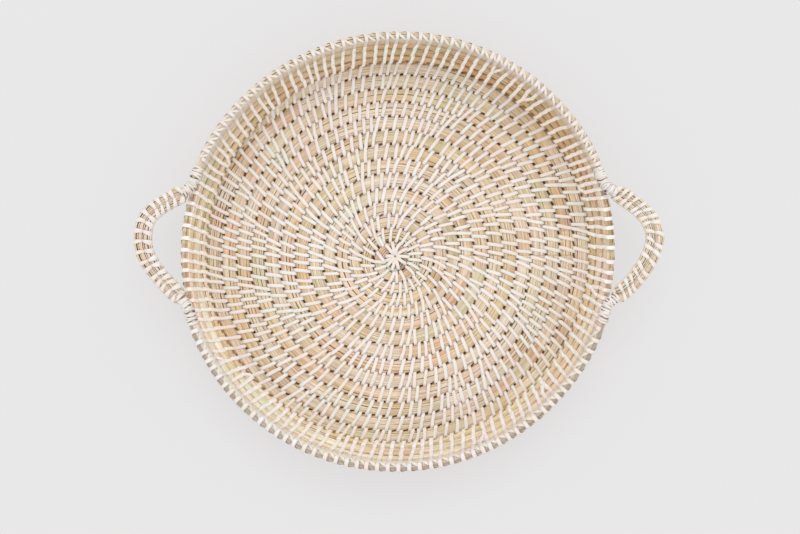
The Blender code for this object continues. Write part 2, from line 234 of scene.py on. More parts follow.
GRASS = [(lin(232, 214, 186), 5.0), (lin(233, 209, 182), 5.0), (lin(237, 221, 198), 4.0),
         (lin(228, 202, 160), 3.0), (lin(220, 190, 140), 1.5), (lin(218, 209, 174), 2.4),
         (lin(204, 196, 158), 1.0), (lin(228, 190, 156), 2.2), (lin(214, 170, 134), 0.6),
         (lin(192, 158, 124), 0.25), (lin(230, 216, 196), 2.0)]
GRASS_C = np.array([c for c, w in GRASS])
GRASS_W = np.array([w for c, w in GRASS])
GRASS_W = GRASS_W / GRASS_W.sum()
# the core's dark brown is painted shade, seen through the gaps between strands and rows
CORE = lin(144, 101, 62)
PALE = lin(228, 216, 200)
PALE_HANDLE = lin(213, 202, 188)
STRIP_C = np.array([lin(250, 239, 229), lin(250, 237, 231), lin(247, 241, 231),
                    lin(250, 237, 224), lin(251, 243, 236)])


def grass_run(n, step, warm, shortest=0.045, longest=0.26):
    """Colour along one strand: it changes where one leaf of seagrass ends."""
    out = np.zeros((n, 3))
    i = 0
    while i < n:
        m = max(int(RNG.uniform(shortest, longest) / step), 2)
        w = GRASS_W * (1.0 + np.array([0, 0, 0, .6, 1.2, -.2, -.3, 1.4, 2.2, 1.6, -.4]) * warm)
        c = GRASS_C[RNG.choice(len(GRASS_C), p=w / w.sum())]
        c = c * RNG.uniform(0.90, 1.10) * (1.0 + RNG.uniform(-0.035, 0.035, 3))
        out[i:i + m] = c
        i += m
    return out


# ------------------------------------------------------------ bundle surfaces
SQ = 2.0 / 3.0        # power that squares the bundle section a little


def sq(c):
    return np.sign(c) * np.abs(c) ** SQ


class Bundle:
    """A coil: its middle line, directions and half sizes against a coordinate."""

    def frame(self, u):
        """middle (n,3), across, normal, half width, half thickness."""
        raise NotImplementedError

    def place(self, u, ang, grow=0.0, squeeze=None, grow_w=None):
        """Point and outward direction on the surface. ang 0 outer, 90 visible face."""
        mid, ac, no, a, b = self.frame(u)
        if squeeze is None:
            squeeze = self.pinch(u)
        if grow_w is None:
            a = (a * (1.0 - 0.35 * squeeze) + grow)[..., None]
        else:
            a = (a + grow_w)[..., None]
        b = (b * (1.0 - squeeze) + grow)[..., None]
        c, s = np.cos(ang)[..., None], np.sin(ang)[..., None]
        p = mid + ac * a * sq(c) + no * b * sq(s)
        n = unit(ac * sq(c) / a + no * sq(s) / b)
        return p, n

    def pinch(self, u):
        """How far the stitches draw the bundle in at u, as a share of its size."""
        st = self.pins
        if st is None or not len(st):
            return np.zeros_like(np.asarray(u, float))
        u = np.asarray(u, float)
        i = np.clip(np.searchsorted(st, u), 1, len(st) - 1)
        d = np.minimum(np.abs(u - st[i - 1]), np.abs(u - st[i])) * self.per_unit(u)
        return self.pinch_by * np.exp(-(d / self.pinch_w) ** 2)

    pinch_by, pinch_w = 0.085, 2.6 * MM
    holes_at, hole_w, hole_p = None, 1.45 * MM, 2
    # hole_dark: how much painted shade darkens the strands in the openings between stitch pairs
    hole_side, hole_dark = ((0.60, 0.28, 1.0), (0.60, 0.28, 1.0)), (0.36, 0.48, 0.60)

    def reach_in(self, u):
        return 0.0

    def holes(self, u, ang):
        """1 in the small openings between the stitch pairs at a row's edges."""
        out = np.zeros_like(np.asarray(u, float))
        if self.holes_at is None:
            return out
        c = np.cos(ang)
        for sgn, at, (start, grade, much) in zip((-1.0, 1.0), self.holes_at, self.hole_side):
            i = np.clip(np.searchsorted(at, u), 1, len(at) - 1)
            d = np.minimum(np.abs(u - at[i - 1]), np.abs(u - at[i])) * self.per_unit(u)
            more = self.reach_in(u) if sgn > 0 else 0.0
            side = np.clip((c * sgn - start + more) / grade, 0.0, 1.0) * much
            out = np.maximum(out, np.exp(-(d / self.hole_w) ** self.hole_p) * side)
        return out


def boundary(t):
    t = np.asarray(t, float)
    return np.where(t <= TURNS_INNER, SPIRAL_START + PITCH_INNER * t,
                    SPIRAL_START + PITCH_INNER * TURNS_INNER + PITCH_OUTER * (t - TURNS_INNER))


def row_point(r, ang):
    return row_centre(r) + np.stack([np.cos(ang), np.sin(ang)], -1) * r[..., None]


class BaseCoil(Bundle):
    pins = None

    def frame(self, u):
        u = np.asarray(u, float)
        ang = TAU * u
        inner = row_point(np.maximum(boundary(u - 1.0), KNOT_R), ang)
        outer = row_point(boundary(u), ang)
        r = np.linalg.norm(outer, axis=-1)
        d = unit(outer - inner)
        bb = (inner * d).sum(-1)
        clipped = inner + d * (-bb + np.sqrt(np.maximum(
            bb * bb - (inner ** 2).sum(-1) + BASE_R ** 2, 0.0)))[..., None]
        reach = np.clip((u - 13.34) / 0.12, 0.0, 1.0)[..., None]
        reach = reach * reach * (3 - 2 * reach)
        outer = np.where((r > BASE_R)[..., None], clipped, outer * (1 - reach) + clipped * reach)
        w = np.linalg.norm(outer - inner, axis=-1)
        h = COIL_H * np.minimum(1.0, (w + 1.0 * MM) / (10.0 * MM))
        z = np.zeros_like(w)
        mid = np.concatenate([(inner + outer) / 2, (h / 2)[..., None]], -1)
        ac = np.concatenate([d, z[..., None]], -1)
        no = np.broadcast_to([0.0, 0.0, 1.0], mid.shape)
        return mid, ac, no, w / 2 - 0.08 * MM, h / 2 - 0.35 * MM

    def per_unit(self, u):
        return TAU * np.maximum(boundary(u) - 7.0 * MM, 6.0 * MM)

    def reach_in(self, u):
        return 0.30 * np.clip((u - 13.30) / 0.10, 0.0, 1.0)


class WallRow(Bundle):
    """A level ring, or the rim's arc with narrowed ends; u is in turns."""

    def __init__(self, r, z, lean, arc=None, fat=-0.20 * MM):
        self.r, self.z, self.lean, self.arc, self.fat = r, z, math.radians(lean), arc, fat
        self.pins = None

    def frame(self, u):
        u = np.asarray(u, float)
        ang = TAU * u
        er = np.stack([np.cos(ang), np.sin(ang), np.zeros_like(ang)], -1)
        ez = np.array([0.0, 0.0, 1.0])
        up = er * math.sin(self.lean) + ez * math.cos(self.lean)
        no = -er * math.cos(self.lean) + ez * math.sin(self.lean)
        k = np.ones_like(u)
        z = np.full_like(u, self.z)
        if self.arc:
            a0, a1 = self.arc
            d = u * 360.0
            e = np.clip(np.minimum(d - a0, a1 - d) / RIM_TAPER, 0.0, 1.0)
            e = e * e * (3 - 2 * e)
            k = RIM_END_SCALE + (1 - RIM_END_SCALE) * e
            z = z + RIM_END_RISE * (1 - e)
        mid = er * self.r + ez * z[..., None]
        return mid, up, no, (ROW_HALF_L + 0.05 * MM) * k, (ROW_HALF_T + self.fat) * k

    def per_unit(self, u):
        return TAU * self.r


def catmull(pts, n):
    pts = np.array(pts, float)
    ext = np.vstack([pts[0] * 2 - pts[1], pts, pts[-1] * 2 - pts[-2]])
    dense = []
    for i in range(1, len(ext) - 2):
        p0, p1, p2, p3 = ext[i - 1], ext[i], ext[i + 1], ext[i + 2]
        for j in range(16):
            t = j / 16
            dense.append(0.5 * ((2 * p1) + (p2 - p0) * t + (2 * p0 - 5 * p1 + 4 * p2 - p3) * t * t
                                + (3 * p1 - p0 - 3 * p2 + p3) * t ** 3))
    dense.append(ext[-2])
    dense = np.array(dense)
    acc = np.concatenate([[0.0], np.cumsum(np.linalg.norm(np.diff(dense, axis=0), axis=1))])
    s = np.linspace(0.0, acc[-1], n)
    return np.stack([np.interp(s, acc, dense[:, k]) for k in range(3)], -1), acc[-1]


class Handle:
    def __init__(self, key, side):
        self.pts, self.length = catmull(np.array(key) * MM, 241)
        self.side = side
        n = len(self.pts)
        i = np.arange(n)
        t = unit(self.pts[np.minimum(i + 3, n - 1)] - self.pts[np.maximum(i - 3, 0)])
        h = unit(np.stack([t[:, 1], -t[:, 0], np.zeros(n)], -1))
        flip = ((h[:, 0] * side < 0) & (np.abs(h[:, 0]) > 0.05)) | \
               ((h[:, :2] * self.pts[:, :2]).sum(-1) < 0)
        h[flip] *= -1
        up = np.cross(t, h)
        up[up[:, 2] < 0] *= -1
        self.t, self.h, self.up = t, h, up

    def frame(self, s):
        s = np.asarray(s, float)
        f = np.clip(s / self.length, 0.0, 1.0) * (len(self.pts) - 1)
        i = np.minimum(f.astype(int), len(self.pts) - 2)
        u = (f - i)[..., None]
        c = self.pts[i] * (1 - u) + self.pts[i + 1] * u
        t = unit(self.t[i] * (1 - u) + self.t[i + 1] * u)
        h = unit(self.h[i] * (1 - u) + self.h[i + 1] * u)
        up = unit(self.up[i] * (1 - u) + self.up[i + 1] * u)
        e = np.clip((np.minimum(s, self.length - s) - HANDLE_END_PLAIN) / HANDLE_END_LEN, 0.0, 1.0)
        e = e * e * (3 - 2 * e)
        k = HANDLE_END_SCALE + (1 - HANDLE_END_SCALE) * e
        w = (math.radians(HANDLE_END_TWIST) * (1 - e))[..., None]
        d = h * np.cos(w) + up * np.sin(w)
        n = up * np.cos(w) - h * np.sin(w)
        return c, t, d, n, k


class HandleCoil(Bundle):
    """One coil of a handle; u is the length along the handle in metres."""

    def __init__(self, hd, sign):
        self.hd, self.sign, self.pins = hd, sign, None

    def frame(self, u):
        c, t, d, n, k = self.hd.frame(u)
        mid = c + d * (self.sign * HANDLE_HALF * k)[..., None]
        r = (HANDLE_COIL_R + 0.15 * MM) * k
        return mid, d * self.sign, n, r, r

    def per_unit(self, u):
        return 1.0


# ------------------------------------------------------------------- strands
# outer gives amount, start and spread of the painted shade on a crest's outer side; a negative amount paints
# light instead
def strands(b, bundle, us, count, half_w, warm=0.0, closed=False, groove_shade=0.12, pale=0.0,
            pale_to=None, core_w=0.12 * MM, tone=None, core_g=-1.05 * MM, vivid=1.0,
            outer=(0.0, 0.12, 0.4)):
    """Seagrass strands laid round the bundle along stations us, plus a dark core whose colour is painted shade
    for the gaps.
    """
    n = len(us)
    mid = bundle.frame(us)[0]
    seg = np.linalg.norm(np.diff(mid, axis=0), axis=1)
    s = np.concatenate([[0.0], np.cumsum(seg)])
    step = max(s[-1] / max(n - 1, 1), 1e-4)
    slow = Wave(count * 3, 0.085, s[-1] + 0.1)
    quick = Wave(count * 2, 0.026, s[-1] + 0.1)
    roll = Wave(1, 0.16, s[-1] + 0.1)
    squeeze = bundle.pinch(us)
    fade = np.ones(n)
    if closed:
        m = min(8, n // 4)
        fade[:m] = np.linspace(0, 1, m)
        fade[-m:] = np.linspace(1, 0, m)
    # even spacing round the section
    th = np.linspace(0, TAU, 721)
    _, _, _, a0, b0 = bundle.frame(us[n // 2:n // 2 + 1])
    x, y = a0[0] * sq(np.cos(th)), b0[0] * sq(np.sin(th))
    acc = np.concatenate([[0.0], np.cumsum(np.hypot(np.diff(x), np.diff(y)))])
    shape = np.array([[-1.0, -0.30], [-0.62, 0.42], [0.0, 0.78], [0.62, 0.42], [1.0, -0.30]])
    shared = grass_run(n, step, warm, 0.010, 0.045)
    for k in range(count):
        frac = (k + 0.5 + RNG.uniform(-0.2, 0.2)) / count
        frac = frac + fade * (0.30 * slow(k, s) + 0.12 * quick(k, s) + 0.55 * roll(0, s)) / count
        ang = np.interp(np.mod(frac, 1.0) * acc[-1], acc, th)
        lift = (-0.52 + 0.22 * slow(count + k, s) * fade + 0.12 * quick(count + k, s) * fade) * MM
        hole = bundle.holes(us, ang)
        lift = lift - 0.50 * MM * hole
        p, nrm = bundle.place(us, ang, grow=lift, squeeze=squeeze)
        tan = unit(np.gradient(p, axis=0)) if n > 2 else unit(np.diff(p, axis=0))[[0, 0]]
        side = unit(np.cross(tan, nrm))
        w = half_w * (1.0 + 0.20 * slow(2 * count + k, s) * fade) * (1.0 - 0.8 * squeeze)
        ring = p[:, None] + side[:, None] * (shape[:, 0] * w[:, None])[..., None] \
            + nrm[:, None] * (shape[:, 1] * (0.80 * MM))[None, :, None]
        col = shared ** 0.45 * grass_run(n, step, warm) ** 0.55
        col = col * (1.0 - pale) + (PALE if pale_to is None else pale_to) * pale
        if vivid != 1.0:
            col = 0.60 * (col / 0.60) ** vivid
        if tone is not None:
            col = col * tone
        # painted shade on the crest's outer side (painted light where outer[0] is negative), fading out again
        # down the outer face
        col = col * (1.0 - (np.clip((outer[1] - np.sin(ang)) / outer[2], 0.0, 1.0)
                            * np.clip(np.cos(ang) / 0.75, 0.0, 1.0))[:, None]
                     * outer[0] * np.array([0.92, 1.0, 1.08]))
        # painted shade: strands darker at the bundle's sides, where the rows meet in a groove, and in the
        # openings between the stitch pairs
        edge = np.abs(np.cos(ang)) ** 8
        col = col * (1.0 - groove_shade * edge)[:, None] \
            * (1.0 - hole[:, None] * np.array(bundle.hole_dark))
        if closed:
            col[-4:] = col[:4]
        flow = np.zeros((n, 5, 3))
        flow[..., 0] = s[:, None]
        flow[..., 1] = shape[:, 0] * half_w
        flow[..., 2] = RNG.uniform(0, 10)
        shade = np.array([0.84, 0.98, 1.03, 0.98, 0.84])
        b.rings(ring, col[:, None, :] * shade[None, :, None], flow, closed=closed)
    # dark core, so that no light shows through the bundle; it stands for the inner grass, and its dark brown,
    # darker still at its sides where the rows meet, is painted shade for the gaps between strands and rows
    m = 10
    ang = (np.arange(m) / m * TAU)
    pts = []
    for q in ang:
        deep = core_w[1 if math.cos(q) > 0 else 0] if isinstance(core_w, tuple) else core_w
        p, _ = bundle.place(us, np.full(n, q), grow=core_g, squeeze=squeeze, grow_w=deep)
        pts.append(p)
    flow = np.zeros((n, m, 3))
    flow[..., 0] = s[:, None]
    dark = 1.0 - 0.30 * np.abs(np.cos(ang)) ** 6
    b.rings(np.stack(pts, 1), CORE[None, None, :] * dark[None, :, None], flow, closed=closed)


def orient(pts, nrm, width, thick, shape):
    """Ribbon rings from a path: width square to the path in the surface."""
    tan = np.empty_like(pts)
    tan[1:-1] = pts[2:] - pts[:-2]
    tan[0], tan[-1] = pts[1] - pts[0], pts[-1] - pts[-2]
    tan = unit(tan)
    side = unit(np.cross(tan, nrm))
    up = unit(np.cross(side, tan))
    w = np.broadcast_to(width, (len(pts),))[:, None] / 2
    return pts[:, None] + side[:, None] * (shape[:, 0] * w)[..., None] \
        + up[:, None] * (shape[:, 1] * thick)[None, :, None]


STRIP_SHAPE = np.array([[-1.0, -0.38], [-0.88, 0.38], [0.0, 0.50], [0.88, 0.38],
                        [1.0, -0.38], [0.0, -0.30]])


def ribbon(b, pts, nrm, width, thick=0.50 * MM, seed_col=None, closed=False, tone=1.0):
    ring = orient(pts, nrm, width, thick, STRIP_SHAPE)
    n = len(pts)
    s = np.concatenate([[0.0], np.cumsum(np.linalg.norm(np.diff(pts, axis=0), axis=1))])
    flow = np.zeros((n, 6, 3))
    flow[..., 0] = s[:, None]
    flow[..., 1] = STRIP_SHAPE[:, 0] * 1.7 * MM
    flow[..., 2] = RNG.uniform(0, 10)
    col = seed_col if seed_col is not None else STRIP_C[RNG.integers(len(STRIP_C))]
    col = np.minimum(np.broadcast_to(col * tone, (n, 3)), 0.99)
    # painted shade: the strip's turned-down edges and its underside darker
    edge = np.array([0.84, 0.99, 1.0, 0.99, 0.84, 0.8])
    b.rings(ring, col[:, None, :] * edge[None, :, None], flow, closed=closed)


# --------------------------------------------------------------- the stitches
SPACING = 9.9 * MM
LEAN = 3.9 * MM          # how far a stitch leans over one row
BESIDE = 3.7 * MM        # a new stitch starts this far beside the last row's


def next_row(prev_out, radius_in, radius_out, lean=LEAN, limit=1.28, lap=1.0):
    """Offsets in turns for a new row's stitch: where it starts beside the last row's, plus a lap of whole turns,
    and how far it leans.
    """
    beside, ln = BESIDE / (TAU * radius_in), lean / (TAU * radius_out)
    return beside + lap, ln


def base_stitches():
    """All stitches of the base in one list of (inner, outer) spiral positions."""
    out = []
    # first ring: drawn together at the eye
    t = 0.60
    while t < 1.53:
        out.append((t, t))
        t += 0.092
    ref = 0
    while True:
        po = out[ref][1]
        r_in = float(boundary(po))
        r_out = float(boundary(po + 1.0))
        ti = po + 1.0 + (BESIDE + RNG.normal(0, 0.35) * MM) / (TAU * max(r_in, 9 * MM))
        if ti > LAST_TURN - 0.010:
            break
        raw = ti - (LEAN + RNG.normal(0, 0.55) * MM) / (TAU * r_out)
        last = out[-1][1]
        gap = (raw - last) * TAU * r_out
        if gap > SPACING * 1.36:
            # one more stitch in the same hole: the pair opens outwards
            mid_o = last + (raw - last) * 0.5
            near = RNG.uniform(3.2, 5.0) * MM / (TAU * r_in)
            mid_i = max(out[-1][0] + near, (out[-1][0] + ti) / 2) if RNG.random() < 0.5 \
                else min(ti - near, (out[-1][0] + ti) / 2 + near * 0.4)
            out.append((mid_i, mid_o))
            last = mid_o
            gap = (raw - last) * TAU * r_out
        want = last + SPACING / (TAU * r_out)
        corr = np.clip((want - raw) * 0.40 * TAU * r_out, -2.4 * MM, 2.4 * MM)
        to = raw + corr / (TAU * r_out)
        to = max(to, last + 4.2 * MM / (TAU * r_out))
        out.append((ti, to))
        ref += 1
    return out


def ring_stitches(ref, r_in, r_out, lean=LEAN, arc=None, beside=BESIDE):
    """Stitches of a closed ring, or of an arc, from the ends below (in turns)."""
    ref = sorted(ref)
    full, ends = [], ([ref[0] + 1.0] if arc is None else [])
    if arc is not None:
        ref = [r for r in ref if arc[0] / 360.0 < r < arc[1] / 360.0]
        ends = [arc[1] / 360.0]
        first = ref[0] - arc[0] / 360.0
        m = int(first * TAU * r_in / SPACING)
        full = [arc[0] / 360.0 + first * (q + 1) / (m + 1) for q in range(m)]
    for a, c in zip(ref, ref[1:] + ends):
        m = max(int(round((c - a) * TAU * r_in / SPACING * 0.78)), 1)
        full += [a + (c - a) * q / m for q in range(m)]
    out = []
    for po in full:
        ti = po + (beside + RNG.normal(0, 0.3) * MM) / (TAU * r_in)
        raw = ti - (lean + RNG.normal(0, 0.45) * MM) / (TAU * r_out)
        if out:
            last = out[-1][1]
            gap = (raw - last) * TAU * r_out
            if gap > SPACING * 1.36:
                mid_o = last + (raw - last) * 0.5
                out.append((ti - 2.6 * MM / (TAU * r_in), mid_o))
                last = mid_o
            want = last + SPACING / (TAU * r_out)
            corr = np.clip((want - raw) * 0.30 * TAU * r_out, -1.5 * MM, 1.5 * MM)
            raw = max(raw + corr / (TAU * r_out), last + 4.2 * MM / (TAU * r_out))
        out.append((ti, raw))
    if arc:
        a0, a1 = arc[0] / 360.0, arc[1] / 360.0
        out = [p for p in out if a0 + 0.012 < p[0] % 1.0 < a1 - 0.012
               and a0 + 0.012 < p[1] % 1.0 < a1 - 0.012]
        out = sorted((i % 1.0, o % 1.0) for i, o in out)
    return out


EYE = np.array([1.2, 5.0])      # from the row centre to the eye
STAR = ((128, 15.6), (101, 15.0), (65, 15.0), (30, 15.4), (-4, 14.8), (-35, 14.0),
        (-75, 13.8), (-104, 14.6), (-131, 13.0), (-157, 11.6), (178, 9.8))

BESIDE_EYE = (((-10.2, -6.2), (-18.6, 5.2), 9.5), ((-11.4, 9.4), (-16.9, 20.0), 9.6))

# one turn of the strip round a bundle, in shares of its half width and half thickness:
# over the visible face from the inner edge, past the outer edge, back under
TOP_X = np.array([-1.12, -1.11, -1.01, -0.60, 0.0, 0.60, 1.01, 1.11, 1.12])
TOP_Z = np.array([0.16, 0.68, 0.97, 1.01, 1.0, 1.01, 0.97, 0.68, 0.16])
LOW_X = np.array([1.02, 0.84, 0.45, 0.0, -0.45, -0.84, -1.02])
LOW_Z = np.array([-0.50, -0.90, -1.0, -1.0, -1.0, -0.90, -0.50])
LOOP_X, LOOP_Z = np.concatenate([TOP_X, LOW_X]), np.concatenate([TOP_Z, LOW_Z])
_dx = (np.roll(LOOP_X, -1) - np.roll(LOOP_X, 1)) * 7.0
_dz = (np.roll(LOOP_Z, -1) - np.roll(LOOP_Z, 1)) * 4.2
LOOP_N = unit(np.stack([-_dz, _dx], -1))
if LOOP_N[4, 1] < 0:
    LOOP_N = -LOOP_N
NT = len(TOP_X)


def wrap(b, bundle, sts, grow=0.34 * MM):
    """One strip along a row: over each stitch, then under to the next one."""
    us, xs, zs, ns = [], [], [], []
    for i, (ti, to) in enumerate(sts):
        f = (np.clip(TOP_X, -1, 1) + 1.0) / 2.0
        bow = RNG.normal(0, 0.06) * np.cos(TOP_X * 1.5) * (to - ti)
        us.append(ti + (to - ti) * f + bow)
        xs.append(TOP_X); zs.append(TOP_Z); ns.append(LOOP_N[:NT])
        if i + 1 < len(sts):
            g = (1.0 - np.clip(LOW_X, -1, 1)) / 2.0
            us.append(to + (sts[i + 1][0] - to) * g)
            xs.append(LOW_X); zs.append(LOW_Z); ns.append(LOOP_N[NT:])
    u, x, z, n2 = map(np.concatenate, (us, xs, zs, ns))
    mid, ac, no, a, bb = bundle.frame(u)
    sqz = bundle.pinch(u)
    a, bb = a * (1.0 - 0.25 * sqz), bb * (1.0 - sqz)
    n = unit(ac * n2[:, 0:1] + no * n2[:, 1:2])
    p = mid + ac * (a * x)[:, None] + no * (bb * z)[:, None] + n * grow
    return p, n


def wall_strip_tone_and_light(u):
    """The strip of the wall is whiter than the same strip on the base, and a little whiter still at the back:
    painted light, set against the shade that falls on the wall.
    """
    return np.array([1.015, 1.04, 1.09]) + np.array([0.05, 0.05, 0.04]) * math.sin(TAU * u)


def wall_width(u):
    """The strip of wall and rim is a little narrower at the back."""
    return (3.95 - 0.30 * math.sin(TAU * u)) * MM


def rim_strip_tone(u):
    return np.array([0.82, 0.84, 0.88]) - 0.025 * math.sin(TAU * u)


def base_tone(us):
    """Base grass, with a warmer patch in the outer turns at the back right."""
    a = (us % 1.0) * 360.0
    g = np.exp(-((a - 48.0) / 26.0) ** 2) * np.clip((us - 9.0) / 3.0, 0.0, 1.0)
    g2 = 0.55 * np.exp(-((a - 205.0) / 22.0) ** 2) * np.clip((us - 11.0) / 2.0, 0.0, 1.0)
    return np.array([0.865, 0.885, 0.945]) * (1.0 - (g + g2)[:, None] * np.array([0.01, 0.07, 0.17]))


BASE_STRIP = np.array([0.845, 0.855, 0.885])
HANDLE_STRIP = np.array([0.825, 0.845, 0.88])


def stitch_row(b, bundle, sts, width, goes_on=False, tone=wall_strip_tone_and_light):
    """Splits the row's strip into lengths, so that each keeps its own shade."""
    i = 0
    while i < len(sts) - 1:
        m = int(RNG.integers(5, 12))
        part = sts[i:i + m + 1]
        if len(part) < 2:
            break
        p, n = wrap(b, bundle, part)
        if goes_on or i + m < len(sts) - 1:
            p, n = p[:-(NT - 1)], n[:-(NT - 1)]
        wide = width(part[0][0]) if callable(width) else width
        w = wide * (1.0 + 0.10 * Wave(1, 0.02, 3.0)(0, np.linspace(0, 2.5, len(p))))
        ribbon(b, p, n, w, tone=tone(part[0][0]) if callable(tone) else tone)
        i += m


# ------------------------------------------------------------------ materials
def nodes_of(mat):
    mat.use_nodes = True
    nt = mat.node_tree
    for n in list(nt.nodes):
        nt.nodes.remove(n)
    return nt, nt.nodes, nt.links


def grass_material():
    mat = bpy.data.materials.new("seagrass_strands")
    nt, N, L = nodes_of(mat)
    out = N.new("ShaderNodeOutputMaterial")
    p = N.new("ShaderNodeBsdfPrincipled")
    L.new(p.outputs[0], out.inputs[0])
    tint = N.new("ShaderNodeAttribute"); tint.attribute_name = "tint"
    flow = N.new("ShaderNodeAttribute"); flow.attribute_name = "flow"
    mp = N.new("ShaderNodeVectorMath"); mp.operation = "MULTIPLY"
    mp.inputs[1].default_value = (48.0, 1500.0, 1.0)
    L.new(flow.outputs["Vector"], mp.inputs[0])
    fib = N.new("ShaderNodeTexNoise"); fib.inputs["Scale"].default_value = 1.0
    fib.inputs["Detail"].default_value = 3.0; fib.inputs["Roughness"].default_value = 0.6
    L.new(mp.outputs[0], fib.inputs["Vector"])
    mp2 = N.new("ShaderNodeVectorMath"); mp2.operation = "MULTIPLY"
    mp2.inputs[1].default_value = (45.0, 120.0, 1.0)
    L.new(flow.outputs["Vector"], mp2.inputs[0])
    blot = N.new("ShaderNodeTexNoise"); blot.inputs["Scale"].default_value = 1.0
    blot.inputs["Detail"].default_value = 4.0
    L.new(mp2.outputs[0], blot.inputs["Vector"])
    ramp = N.new("ShaderNodeValToRGB")
    ramp.color_ramp.elements[0].position = 0.30
    ramp.color_ramp.elements[0].color = (0.80, 0.76, 0.71, 1)
    ramp.color_ramp.elements[1].position = 0.62
    ramp.color_ramp.elements[1].color = (1.10, 1.10, 1.10, 1)
    L.new(fib.outputs["Fac"], ramp.inputs["Fac"])
    ramp2 = N.new("ShaderNodeValToRGB")
    ramp2.color_ramp.elements[0].position = 0.32
    ramp2.color_ramp.elements[0].color = (0.90, 0.85, 0.78, 1)
    ramp2.color_ramp.elements[1].position = 0.56
    ramp2.color_ramp.elements[1].color = (1.04, 1.04, 1.05, 1)
    L.new(blot.outputs["Fac"], ramp2.inputs["Fac"])
    m1 = N.new("ShaderNodeMix"); m1.data_type = "RGBA"; m1.blend_type = "MULTIPLY"
    m1.inputs["Factor"].default_value = 1.0
    L.new(tint.outputs["Color"], m1.inputs[6]); L.new(ramp.outputs[0], m1.inputs[7])
    m2 = N.new("ShaderNodeMix"); m2.data_type = "RGBA"; m2.blend_type = "MULTIPLY"
    m2.inputs["Factor"].default_value = 0.8
    L.new(m1.outputs[2], m2.inputs[6]); L.new(ramp2.outputs[0], m2.inputs[7])
    L.new(m2.outputs[2], p.inputs["Base Color"])
    rr = N.new("ShaderNodeMapRange")
    rr.inputs["To Min"].default_value = 0.72; rr.inputs["To Max"].default_value = 0.46
    L.new(fib.outputs["Fac"], rr.inputs["Value"])
    L.new(rr.outputs[0], p.inputs["Roughness"])
    bump = N.new("ShaderNodeBump")
    bump.inputs["Strength"].default_value = 0.55
    bump.inputs["Distance"].default_value = 0.0004
    L.new(fib.outputs["Fac"], bump.inputs["Height"])
    L.new(bump.outputs[0], p.inputs["Normal"])
    p.inputs["Specular IOR Level"].default_value = 0.35
    return mat


def strip_material():
    mat = bpy.data.materials.new("binding_strip_white")
    nt, N, L = nodes_of(mat)
    out = N.new("ShaderNodeOutputMaterial")
    p = N.new("ShaderNodeBsdfPrincipled")
    L.new(p.outputs[0], out.inputs[0])
    tint = N.new("ShaderNodeAttribute"); tint.attribute_name = "tint"
    flow = N.new("ShaderNodeAttribute"); flow.attribute_name = "flow"
    mp = N.new("ShaderNodeVectorMath"); mp.operation = "MULTIPLY"
    mp.inputs[1].default_value = (110.0, 1500.0, 1.0)
    L.new(flow.outputs["Vector"], mp.inputs[0])
    fib = N.new("ShaderNodeTexNoise"); fib.inputs["Scale"].default_value = 1.0
    fib.inputs["Detail"].default_value = 2.0
    L.new(mp.outputs[0], fib.inputs["Vector"])
    geo = N.new("ShaderNodeTexCoord")
    cloud = N.new("ShaderNodeTexNoise"); cloud.inputs["Scale"].default_value = 95.0
    cloud.inputs["Detail"].default_value = 2.0
    L.new(geo.outputs["Object"], cloud.inputs["Vector"])
    ramp = N.new("ShaderNodeValToRGB")
    ramp.color_ramp.elements[0].position = 0.30
    ramp.color_ramp.elements[0].color = (0.90, 0.885, 0.86, 1)
    ramp.color_ramp.elements[1].position = 0.60
    ramp.color_ramp.elements[1].color = (1.0, 1.0, 1.0, 1)
    L.new(fib.outputs["Fac"], ramp.inputs["Fac"])
    ramp2 = N.new("ShaderNodeValToRGB")
    e = ramp2.color_ramp.elements
    e[0].position = 0.38; e[0].color = (1.0, 0.968, 0.950, 1)
    e[1].position = 0.60; e[1].color = (0.975, 1.0, 0.995, 1)
    mid = e.new(0.49); mid.color = (1.0, 1.0, 0.99, 1)
    L.new(cloud.outputs["Fac"], ramp2.inputs["Fac"])
    m1 = N.new("ShaderNodeMix"); m1.data_type = "RGBA"; m1.blend_type = "MULTIPLY"
    m1.inputs["Factor"].default_value = 1.0
    L.new(tint.outputs["Color"], m1.inputs[6]); L.new(ramp.outputs[0], m1.inputs[7])
    m2 = N.new("ShaderNodeMix"); m2.data_type = "RGBA"; m2.blend_type = "MULTIPLY"
    m2.inputs["Factor"].default_value = 1.0
    L.new(m1.outputs[2], m2.inputs[6]); L.new(ramp2.outputs[0], m2.inputs[7])
    L.new(m2.outputs[2], p.inputs["Base Color"])
    rr = N.new("ShaderNodeMapRange")
    rr.inputs["To Min"].default_value = 0.58; rr.inputs["To Max"].default_value = 0.36
    L.new(fib.outputs["Fac"], rr.inputs["Value"])
    L.new(rr.outputs[0], p.inputs["Roughness"])
    bump = N.new("ShaderNodeBump")
    bump.inputs["Strength"].default_value = 0.35
    bump.inputs["Distance"].default_value = 0.0003
    L.new(fib.outputs["Fac"], bump.inputs["Height"])
    L.new(bump.outputs[0], p.inputs["Normal"])
    p.inputs["Specular IOR Level"].default_value = 0.4
    return mat


GRASS_MAT = grass_material()
STRIP_MAT = strip_material()
STEP = 1.65 * MM

# ------------------------------------------------------------------- the base
base = BaseCoil()
all_st = base_stitches()
base.pins = np.array(sorted((i + o) / 2 for i, o in all_st))


def set_holes(bundle, sts, r, closed=False, off=4.7):
    lo = np.array(sorted(i for i, o in sts)) + (off if closed else 3.0) * MM / (TAU * r)
    hi = np.array(sorted(o for i, o in sts)) - (4.7 if closed else 2.9) * MM / (TAU * r)
    if closed:
        bundle.hole_w, bundle.hole_p = 1.9 * MM, 4
        bundle.hole_dark = (0.52, 0.68, 0.80)
    if closed:
        lo, hi = (np.unique(np.concatenate([q - 1, q, q + 1])) for q in (lo, hi))
    bundle.holes_at = (lo, hi)


_i = np.array(sorted(i for i, o in all_st))
_o = np.array(sorted(o for i, o in all_st))
base.holes_at = (_i + 3.0 * MM / (TAU * np.maximum(boundary(_i - 1.0), 9 * MM)),
                 _o - 2.9 * MM / (TAU * np.maximum(boundary(_o), 9 * MM)))

